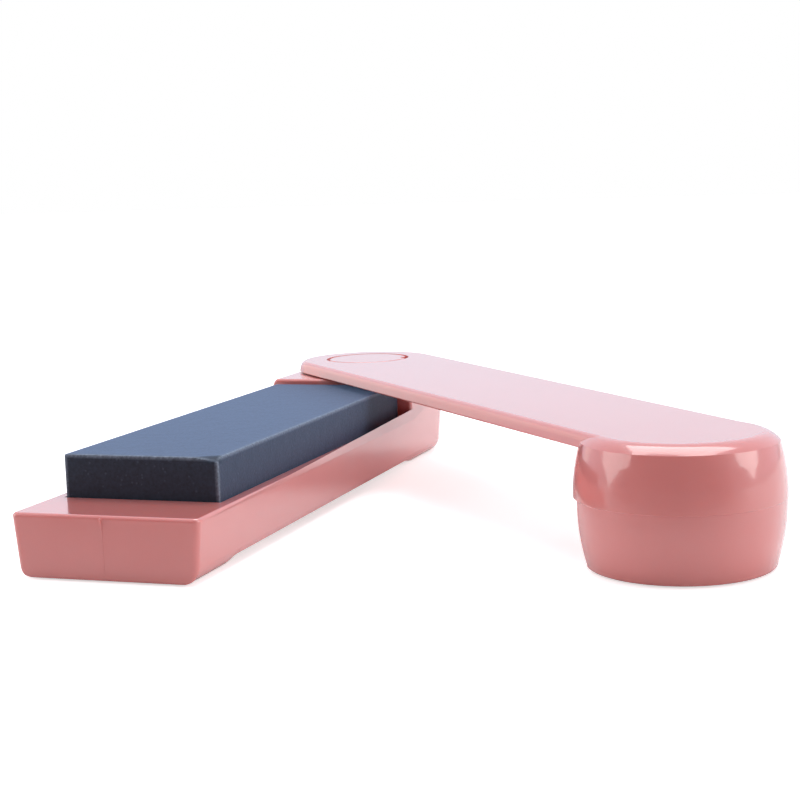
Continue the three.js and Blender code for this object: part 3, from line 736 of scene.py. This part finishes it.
def sintered_grit():
    """Sintered silicon carbide: matt and dark, dusted blue-grey at a slant, with edges paler from
    rubbing wear and a painted edge highlight.
    """
    material, tree, shader, place = new_material("sintered_grit")
    # Real grit is under 0.1 mm, so it is drawn several times as coarse to show.
    grit = node(tree, "ShaderNodeTexNoise", {"Vector": place, "Scale": 1 / GRIT_SIZE, "Detail": 4.0})
    body = node(
        tree, "ShaderNodeMix",
        {0: grit.outputs["Fac"], 6: linear("#151A23"), 7: linear("#303A4B")}, data_type="RGBA")
    scatter = node(tree, "ShaderNodeTexVoronoi", {"Vector": place, "Scale": 1 / SPECK_SIZE})
    speck = node(
        tree, "ShaderNodeMapRange",
        {"Value": scatter.outputs["Distance"], "From Min": 0.08, "From Max": 0.2,
         "To Min": 0.1, "To Max": 0.0})
    specked = node(
        tree, "ShaderNodeMix",
        {0: speck.outputs[0], 6: body.outputs[2], 7: linear("#7F8CA3")}, data_type="RGBA")
    # Pale edges, patchy with the grit: partly rubbing wear, partly a painted edge highlight.
    wear_and_highlight = node(tree, "ShaderNodeAttribute", {}, attribute_name="wear_and_highlight")
    patchy = node(
        tree, "ShaderNodeMath", {0: wear_and_highlight.outputs["Fac"], 1: grit.outputs["Fac"]}, operation="MULTIPLY")
    pale_edges = node(
        tree, "ShaderNodeMix",
        {0: patchy.outputs[0], 6: specked.outputs[2], 7: linear("#A9B6C8")}, data_type="RGBA")
    tree.links.new(pale_edges.outputs[2], shader.inputs["Base Color"])
    rough = node(
        tree, "ShaderNodeMapRange", {"Value": grit.outputs["Fac"], "To Min": 0.5, "To Max": 0.75})
    tree.links.new(rough.outputs[0], shader.inputs["Roughness"])
    bumps = node(
        tree, "ShaderNodeBump",
        {"Height": grit.outputs["Fac"], "Strength": 0.4, "Distance": GRIT_RISE})
    tree.links.new(bumps.outputs["Normal"], shader.inputs["Normal"])
    shader.inputs["Specular IOR Level"].default_value = 0.3
    dusting = node(
        tree, "ShaderNodeMapRange",
        {"Value": grit.outputs["Fac"], "From Min": 0.35, "From Max": 0.6,
         "To Min": 0.8, "To Max": 1.0})
    tree.links.new(dusting.outputs[0], shader.inputs["Sheen Weight"])
    shader.inputs["Sheen Roughness"].default_value = 0.4
    shader.inputs["Sheen Tint"].default_value = linear("#95B2E0")
    return material


def plain_finish(name, dark, light, size, roughness, bump, metallic=0.0):
    """A finish whose colour, gloss and surface vary a little with a fine grain."""
    material, tree, shader, place = new_material(name)
    grain = node(tree, "ShaderNodeTexNoise", {"Vector": place, "Scale": 1 / size, "Detail": 3.0})
    colour = node(
        tree, "ShaderNodeMix",
        {0: grain.outputs["Fac"], 6: linear(dark), 7: linear(light)}, data_type="RGBA")
    tree.links.new(colour.outputs[2], shader.inputs["Base Color"])
    gloss = node(
        tree, "ShaderNodeMapRange",
        {"Value": grain.outputs["Fac"], "To Min": roughness - GLOSS_SPREAD,
         "To Max": roughness + GLOSS_SPREAD})
    tree.links.new(gloss.outputs[0], shader.inputs["Roughness"])
    relief = node(
        tree, "ShaderNodeBump",
        {"Height": grain.outputs["Fac"], "Strength": bump, "Distance": size * RELIEF_SHARE})
    tree.links.new(relief.outputs["Normal"], shader.inputs["Normal"])
    shader.inputs["Metallic"].default_value = metallic
    return material


def dress(piece, material):
    """Gives a piece or a CAD node its material."""
    piece.data.materials.clear()
    piece.data.materials.append(material)


# Object

ABS = moulded_abs()
GRIT = sintered_grit()
# Rubber is nearly black and dull. Zinc plate is a pale grey mirror that its grain blurs.
RUBBER = plain_finish(
    "moulded_rubber", "#312D2F", "#3D383A", size=0.5 * MM, roughness=0.8, bump=0.3)
STEEL = plain_finish(
    "zinc_plated_steel", "#A9ACB0", "#C6C9CC", size=0.4 * MM, roughness=0.32, bump=0.05, metallic=1.0)
# Nylon is off-white and waxy. Foam is off-white and dull, pitted by its cells.
NYLON = plain_finish(
    "natural_nylon", "#EAE5D8", "#F3EFE6", size=0.8 * MM, roughness=0.5, bump=0.05)
FOAM = plain_finish(
    "closed_cell_foam", "#D9D4C8", "#EFEBE2", size=0.3 * MM, roughness=0.9, bump=0.5)

PIECES = [
    (tray_body(), "base", "base_tray", "pink_abs", ABS),
    (stone_block(), "base", "whetstone", "abrasive_stone", GRIT),
    (arm_body(), "arm", "swivel_arm", "pink_abs", ABS),
    (cap_disc(), "arm", "pivot_cap", "pink_abs", ABS),
    (tape_strip("bed_tape_front"), "base", "bed_tape_front", "foam_tape", FOAM),
    (tape_strip("bed_tape_rear"), "base", "bed_tape_rear", "foam_tape", FOAM),
]
for piece, body, cad_node, slot, material in PIECES:
    dress(piece, material)
    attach(piece, body)
    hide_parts(cad_node)

CAD_FINISHES = {
    "front_left_foot": RUBBER, "front_right_foot": RUBBER, "rear_foot": RUBBER, "knob_foot": RUBBER,
    "pivot_screw": STEEL, "pivot_washer": STEEL, "knob_screw_left": STEEL, "knob_screw_right": STEEL,
    "thrust_washer": NYLON, "knob_base": ABS,
}
for name, material in CAD_FINISHES.items():
    dress(NODES[name], material)


# Studio

CAMERA_PLACE = Vector((133.2, -364.0, 65.5)) * MM
CAMERA_YAW = math.radians(-17.67)
CAMERA_PITCH = math.radians(7.30)
CAMERA_ROLL = math.radians(-1.78)
FRAME_PIXELS = 800
FOCAL_PIXELS = 1594.1
AXIS_PIXEL = (435.8, 384.8)
SENSOR_WIDTH = 36
NEAREST_VIEW = 10 * MM

# Lights: one softbox over the object, and panels that face a point over the knob
OBJECT_MIDDLE = (0.03, -0.06, 0.01)
OVER_KNOB = (0.092, -0.102, 0.3)
PANEL_CORNERS = 5
PANELS = [
    # name, place, radius, strength
    ("left_panel", (-0.52, -0.32, 0.3), 0.3, 2.6),
    ("right_panel", (0.742, -0.073, 0.33), 0.3, 3.6),
    ("rear_panel", (-0.5, 0.2, 0.2), 0.2, 1.2),
]

# Table, whose colour has a painted shade about a place in front that only reflections show, and white
# away from the object
TABLE_SIZE = 8
PAINTED_SHADE_MIDDLE = (0.1, -1.0, 0)
PAINTED_SHADE_INNER, PAINTED_SHADE_OUTER = 0.8, 0.9
SHADE_INNER, SHADE_OUTER = 0.12, 0.5
SHADE_GLOW = 0.62
UNSEEN_GLOW = 0.06

# Room, which is dim towards the camera
ROOM_BACK = (0, 1, 0.5)
ROOM_DIM_END, ROOM_LIT_START = -0.6, 0.1
ROOM_DIM = 0.08
ROOM_LIGHT_SHARE = 0.55


def photo_camera():
    """A camera where the photograph was taken from, with its framing."""
    data = bpy.data.cameras.new("photo_camera")
    data.sensor_width = SENSOR_WIDTH
    data.lens = data.sensor_width * FOCAL_PIXELS / FRAME_PIXELS
    data.shift_x = 0.5 - AXIS_PIXEL[0] / FRAME_PIXELS
    data.shift_y = AXIS_PIXEL[1] / FRAME_PIXELS - 0.5
    data.clip_start = NEAREST_VIEW
    camera = bpy.data.objects.new("photo_camera", data)
    bpy.context.scene.collection.objects.link(camera)
    turn = Matrix.Rotation(-CAMERA_YAW, 4, "Z") @ Matrix.Rotation(math.pi / 2 - CAMERA_PITCH, 4, "X")
    camera.matrix_world = (
        Matrix.Translation(CAMERA_PLACE) @ turn @ Matrix.Rotation(CAMERA_ROLL, 4, "Z"))
    bpy.context.scene.camera = camera


def softbox(name, place, target, size, power):
    """A rectangular studio light that faces a point."""
    data = bpy.data.lights.new(name, "AREA")
    data.shape = "RECTANGLE"
    data.size, data.size_y = size
    data.energy = power
    lamp = bpy.data.objects.new(name, data)
    bpy.context.scene.collection.objects.link(lamp)
    lamp.location = place
    lamp.rotation_euler = (Vector(target) - Vector(place)).to_track_quat("-Z", "Y").to_euler()


def light_panel(name, place, target, radius, strength):
    """A lit pentagon that hangs with a corner down and faces a point, out of the camera's sight."""
    facing = (Vector(target) - Vector(place)).to_track_quat("Z", "Y").to_matrix()
    turn = facing @ Matrix.Rotation(math.pi, 3, "Z")
    bpy.ops.object.select_all(action="DESELECT")
    bpy.ops.mesh.primitive_circle_add(
        vertices=PANEL_CORNERS, radius=radius, fill_type="NGON",
        location=place, rotation=turn.to_euler())
    panel = named(name)
    panel.visible_camera = False
    material = new_material(name)[0]
    shader = material.node_tree.nodes["Principled BSDF"]
    shader.inputs["Base Color"].default_value = linear("#000000")
    shader.inputs["Emission Color"].default_value = linear("#FFFFFF")
    shader.inputs["Emission Strength"].default_value = strength
    dress(panel, material)


def studio_floor():
    """A pale table, white to the camera but for the shadow, with a painted shade in front that only
    reflections show.
    """
    bpy.ops.object.select_all(action="DESELECT")
    bpy.ops.mesh.primitive_plane_add(size=TABLE_SIZE, location=(0, 0, -NEAR))
    floor = named("studio_floor")
    material, tree, shader, place = new_material("pale_table")
    shader.inputs["Roughness"].default_value = 0.7
    shader.inputs["Specular IOR Level"].default_value = 0.2
    paths = node(tree, "ShaderNodeLightPath", {})
    # Painted shade: the table's colour darkens to #404040 about a place in front, in reflections only.
    from_painted_shade = node(
        tree, "ShaderNodeVectorMath", {0: place, 1: PAINTED_SHADE_MIDDLE}, operation="DISTANCE")
    front = node(
        tree, "ShaderNodeMapRange",
        {"Value": from_painted_shade.outputs["Value"], "From Min": PAINTED_SHADE_INNER, "From Max": PAINTED_SHADE_OUTER,
         "To Min": 1.0, "To Max": 0.0})
    painted_shade = node(
        tree, "ShaderNodeMath",
        {0: front.outputs[0], 1: paths.outputs["Is Glossy Ray"]}, operation="MULTIPLY")
    colour = node(
        tree, "ShaderNodeMix",
        {0: painted_shade.outputs[0], 6: linear("#F2F2F2"), 7: linear("#404040")}, data_type="RGBA")
    tree.links.new(colour.outputs[2], shader.inputs["Base Color"])
    away = node(tree, "ShaderNodeVectorMath", {0: place}, operation="LENGTH")
    glow = node(
        tree, "ShaderNodeMapRange",
        {"Value": away.outputs["Value"], "From Min": SHADE_INNER, "From Max": SHADE_OUTER,
         "To Min": SHADE_GLOW, "To Max": 1.0})
    shown = node(
        tree, "ShaderNodeMath",
        {0: paths.outputs["Is Camera Ray"], 1: glow.outputs[0]}, operation="MULTIPLY")
    strength = node(
        tree, "ShaderNodeMath", {0: shown.outputs[0], 1: UNSEEN_GLOW}, operation="MAXIMUM")
    tree.links.new(strength.outputs[0], shader.inputs["Emission Strength"])
    shader.inputs["Emission Color"].default_value = linear("#FFFFFF")
    dress(floor, material)


def studio_world():
    """A white room, dim on the camera's side, that shows stronger in reflections than it lights."""
    world = bpy.data.worlds.new("studio")
    world.use_nodes = True
    tree = world.node_tree
    paths = node(tree, "ShaderNodeLightPath", {})
    direction = node(tree, "ShaderNodeTexCoord", {}).outputs["Generated"]
    depth = node(
        tree, "ShaderNodeVectorMath", {0: direction, 1: ROOM_BACK}, operation="DOT_PRODUCT")
    room = node(
        tree, "ShaderNodeMapRange",
        {"Value": depth.outputs["Value"], "From Min": ROOM_DIM_END, "From Max": ROOM_LIT_START,
         "To Min": ROOM_DIM, "To Max": 1.0})
    share = node(
        tree, "ShaderNodeMapRange",
        {"Value": paths.outputs["Is Glossy Ray"], "To Min": ROOM_LIGHT_SHARE, "To Max": 1.0})
    around = node(
        tree, "ShaderNodeMath", {0: share.outputs[0], 1: room.outputs[0]}, operation="MULTIPLY")
    behind = node(
        tree, "ShaderNodeMath",
        {0: paths.outputs["Is Camera Ray"], 1: paths.outputs["Is Transmission Ray"]},
        operation="MAXIMUM")
    strength = node(
        tree, "ShaderNodeMath", {0: around.outputs[0], 1: behind.outputs[0]}, operation="MAXIMUM")
    tint = node(
        tree, "ShaderNodeMix",
        {0: paths.outputs["Is Camera Ray"], 6: linear("#F0F2FF"), 7: linear("#FFFFFF")},
        data_type="RGBA")
    background = tree.nodes["Background"]
    tree.links.new(tint.outputs[2], background.inputs["Color"])
    tree.links.new(strength.outputs[0], background.inputs["Strength"])
    bpy.context.scene.world = world


photo_camera()
softbox("top_light", place=(0.05, 0.08, 0.75), target=OBJECT_MIDDLE, size=(0.7, 0.5), power=4)
for name, place, radius, strength in PANELS:
    light_panel(name, place, OVER_KNOB, radius, strength)
studio_floor()
studio_world()
bpy.context.scene.view_settings.view_transform = "Standard"
